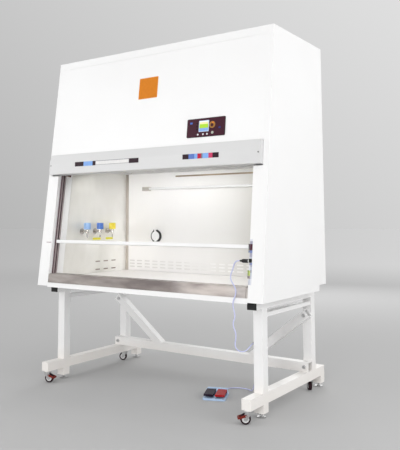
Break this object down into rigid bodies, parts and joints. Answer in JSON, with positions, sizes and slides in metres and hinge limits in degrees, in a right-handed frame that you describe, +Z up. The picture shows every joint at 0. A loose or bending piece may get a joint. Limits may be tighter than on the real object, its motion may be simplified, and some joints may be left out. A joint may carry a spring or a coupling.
{
  "type": "biosafety cabinet",
  "caption": "Microbiological safety cabinet on its stand, with a motor-driven glass sash, a steel work chamber, blower and filters, service taps, casters and a foot switch.",
  "frame": {"origin": "on the floor, in the middle of the bounding box of everything but the foot switch cord and its plug", "axes": "+X to the right as seen by the user in front, +Y from the user to the back, +Z up"},
  "size_m": [1.5, 0.8986, 1.925],
  "materials": {
    "stand_coat": "satin",
    "bolt_steel": "satin",
    "black_plastic": "matte",
    "zinc_steel": "satin",
    "tyre_rubber": "matte",
    "brake_red": "satin",
    "pedal_red": "satin",
    "switch_grey": "matte",
    "cord_lavender": "satin",
    "body_coat": "satin",
    "header_coat": "satin",
    "keypad_film": "satin",
    "stainless": "brushed",
    "brown_stainless": "brushed",
    "guide_black": "satin",
    "rail_coat": "satin",
    "holder_plastic": "satin",
    "socket_dark": "satin",
    "sash_glass": "clear",
    "drive_steel": "satin",
    "belt_rubber": "matte",
    "motor_coat": "satin",
    "filter_paper": "matte",
    "diffuser_coat": "satin",
    "galvanised": "satin",
    "tube_glass": "frosted",
    "socket_plastic": "satin",
    "tap_coat": "satin",
    "knob_pale_blue": "satin",
    "knob_blue": "satin",
    "knob_yellow": "satin",
    "service_film": "satin"
  },
  "bodies": {
    "cabinet": {"base_pan": "brown_stainless", "blower_housing": "galvanised", "control_panel": "keypad_film", "diffuser_plate": "diffuser_coat", "drain_plug": "brown_stainless", "exhaust_filter": "filter_paper", "foot_switch_base": "switch_grey", "foot_switch_cord": "cord_lavender", "foot_switch_plug": "black_plastic", "front_grille": "brown_stainless", "front_panel": "body_coat", "header_cover": "header_coat", "lamp_holders": "holder_plastic", "lamp_tubes": "tube_glass", "pressure_plenum": "galvanised", "rail_end_caps": "black_plastic", "rear_brace_frame": "stand_coat", "rear_panel": "body_coat", "rear_wall_liner": "stainless", "sash_belts": "belt_rubber", "sash_guides": "guide_black", "sash_motor": "motor_coat", "service_panel": "service_film", "service_taps": "tap_coat", "side_panel_left": "body_coat", "side_panel_right": "body_coat", "side_wall_liner_left": "stainless", "side_wall_liner_right": "stainless", "stand_bolts": "bolt_steel", "stand_side_frame_left": "stand_coat", "stand_side_frame_right": "stand_coat", "supply_filter": "filter_paper", "top_panel": "body_coat", "wall_socket": "socket_dark", "work_surface": "stainless"},
    "sash": {"sash_glass": "sash_glass", "sash_rails": "rail_coat"},
    "sash_drive": {"sash_drive_shaft": "drive_steel"},
    "sash_idler_pulleys": {"sash_idlers": "drive_steel"},
    "blower_rotor": {"blower_wheel": "galvanised"},
    "lid": {"socket_lid": "socket_plastic"},
    "knob_front": {"tap_knob_front": "knob_pale_blue"},
    "knob_middle": {"tap_knob_middle": "knob_blue"},
    "knob_rear": {"tap_knob_rear": "knob_yellow"},
    "foot_front_left": {"levelling_foot_front_left": "zinc_steel"},
    "fork_front_left": {"caster_fork_front_left": "zinc_steel"},
    "wheel_front_left": {"caster_wheel_front_left": "tyre_rubber"},
    "brake_front_left": {"caster_brake_front_left": "brake_red"},
    "foot_front_right": {"levelling_foot_front_right": "zinc_steel"},
    "fork_front_right": {"caster_fork_front_right": "zinc_steel"},
    "wheel_front_right": {"caster_wheel_front_right": "tyre_rubber"},
    "brake_front_right": {"caster_brake_front_right": "brake_red"},
    "foot_rear_left": {"levelling_foot_rear_left": "zinc_steel"},
    "fork_rear_left": {"caster_fork_rear_left": "zinc_steel"},
    "wheel_rear_left": {"caster_wheel_rear_left": "tyre_rubber"},
    "foot_rear_right": {"levelling_foot_rear_right": "zinc_steel"},
    "fork_rear_right": {"caster_fork_rear_right": "zinc_steel"},
    "wheel_rear_right": {"caster_wheel_rear_right": "tyre_rubber"},
    "pedal_left": {"foot_switch_pedal_left": "black_plastic"},
    "pedal_right": {"foot_switch_pedal_right": "pedal_red"}
  },
  "joints": [
    {"name": "sash_slide", "type": "slide", "parent": "cabinet", "child": "sash", "axis": [0, 0.1173, 0.9931], "range_m": [-0.174, 0.3]},
    {"name": "drive_turn", "type": "hinge", "parent": "cabinet", "child": "sash_drive", "pos_m": [0, -0.18901, 1.79062], "axis": [1, 0, 0], "range_deg": [-1130, 660]},
    {"name": "idler_turn", "type": "hinge", "parent": "cabinet", "child": "sash_idler_pulleys", "pos_m": [0, -0.25478, 1.23362], "axis": [1, 0, 0], "range_deg": [-1130, 660]},
    {"name": "blower_turn", "type": "hinge", "parent": "cabinet", "child": "blower_rotor", "pos_m": [0, 0.0493, 1.57], "axis": [1, 0, 0], "continuous": true},
    {"name": "socket_lid_hinge", "type": "hinge", "parent": "cabinet", "child": "lid", "pos_m": [-0.405, 0.295, 0.87], "axis": [-1, 0, 0], "range_deg": [0, 110], "stiffness_Nm_per_rad": 0.01},
    {"name": "tap_front_turn", "type": "hinge", "parent": "cabinet", "child": "knob_front", "pos_m": [-0.6202, -0.1287, 0.888], "axis": [0, 0, 1], "range_deg": [0, 270]},
    {"name": "tap_middle_turn", "type": "hinge", "parent": "cabinet", "child": "knob_middle", "pos_m": [-0.6202, -0.0087, 0.888], "axis": [0, 0, 1], "range_deg": [0, 270]},
    {"name": "tap_rear_turn", "type": "hinge", "parent": "cabinet", "child": "knob_rear", "pos_m": [-0.6202, 0.1113, 0.888], "axis": [0, 0, 1], "range_deg": [0, 270]},
    {"name": "foot_front_left_height", "type": "slide", "parent": "cabinet", "child": "foot_front_left", "axis": [0, 0, 1], "range_m": [0, 0.012]},
    {"name": "caster_front_left_swivel", "type": "hinge", "parent": "cabinet", "child": "fork_front_left", "pos_m": [-0.6625, -0.4067, 0.065], "axis": [0, 0, 1], "continuous": true},
    {"name": "caster_front_left_roll", "type": "hinge", "parent": "fork_front_left", "child": "wheel_front_left", "pos_m": [-0.64934, -0.40191, 0.025], "axis": [-0.342, 0.9397, 0], "continuous": true},
    {"name": "brake_front_left_press", "type": "hinge", "parent": "fork_front_left", "child": "brake_front_left", "pos_m": [-0.65122, -0.40259, 0.04], "axis": [-0.342, 0.9397, 0], "range_deg": [0, 8]},
    {"name": "foot_front_right_height", "type": "slide", "parent": "cabinet", "child": "foot_front_right", "axis": [0, 0, 1], "range_m": [0, 0.012]},
    {"name": "caster_front_right_swivel", "type": "hinge", "parent": "cabinet", "child": "fork_front_right", "pos_m": [0.6625, -0.4067, 0.065], "axis": [0, 0, 1], "continuous": true},
    {"name": "caster_front_right_roll", "type": "hinge", "parent": "fork_front_right", "child": "wheel_front_right", "pos_m": [0.65103, -0.41473, 0.025], "axis": [0.5736, -0.8192, 0], "continuous": true},
    {"name": "brake_front_right_press", "type": "hinge", "parent": "fork_front_right", "child": "brake_front_right", "pos_m": [0.65267, -0.41358, 0.04], "axis": [0.5736, -0.8192, 0], "range_deg": [0, 8]},
    {"name": "foot_rear_left_height", "type": "slide", "parent": "cabinet", "child": "foot_rear_left", "axis": [0, 0, 1], "range_m": [0, 0.012]},
    {"name": "caster_rear_left_swivel", "type": "hinge", "parent": "cabinet", "child": "fork_rear_left", "pos_m": [-0.6625, 0.3043, 0.065], "axis": [0, 0, 1], "continuous": true},
    {"name": "caster_rear_left_roll", "type": "hinge", "parent": "fork_rear_left", "child": "wheel_rear_left", "pos_m": [-0.67566, 0.29951, 0.025], "axis": [0.342, -0.9397, 0], "continuous": true},
    {"name": "foot_rear_right_height", "type": "slide", "parent": "cabinet", "child": "foot_rear_right", "axis": [0, 0, 1], "range_m": [0, 0.012]},
    {"name": "caster_rear_right_swivel", "type": "hinge", "parent": "cabinet", "child": "fork_rear_right", "pos_m": [0.6625, 0.3043, 0.065], "axis": [0, 0, 1], "continuous": true},
    {"name": "caster_rear_right_roll", "type": "hinge", "parent": "fork_rear_right", "child": "wheel_rear_right", "pos_m": [0.65447, 0.31577, 0.025], "axis": [-0.8192, -0.5736, 0], "continuous": true},
    {"name": "pedal_left_press", "type": "hinge", "parent": "cabinet", "child": "pedal_left", "pos_m": [0.26226, -0.08413, 0.024], "axis": [0.9304, 0.3665, 0], "range_deg": [0, 5], "stiffness_Nm_per_rad": 2, "springref_deg": -8.59},
    {"name": "pedal_right_press", "type": "hinge", "parent": "cabinet", "child": "pedal_right", "pos_m": [0.31808, -0.06214, 0.024], "axis": [0.9304, 0.3665, 0], "range_deg": [0, 5], "stiffness_Nm_per_rad": 2, "springref_deg": -8.59}
  ],
  "couplings": [
    {"joint": "drive_turn", "follows": "sash_slide", "rad_per_m": -65.359},
    {"joint": "idler_turn", "follows": "sash_slide", "rad_per_m": -65.359}
  ]
}
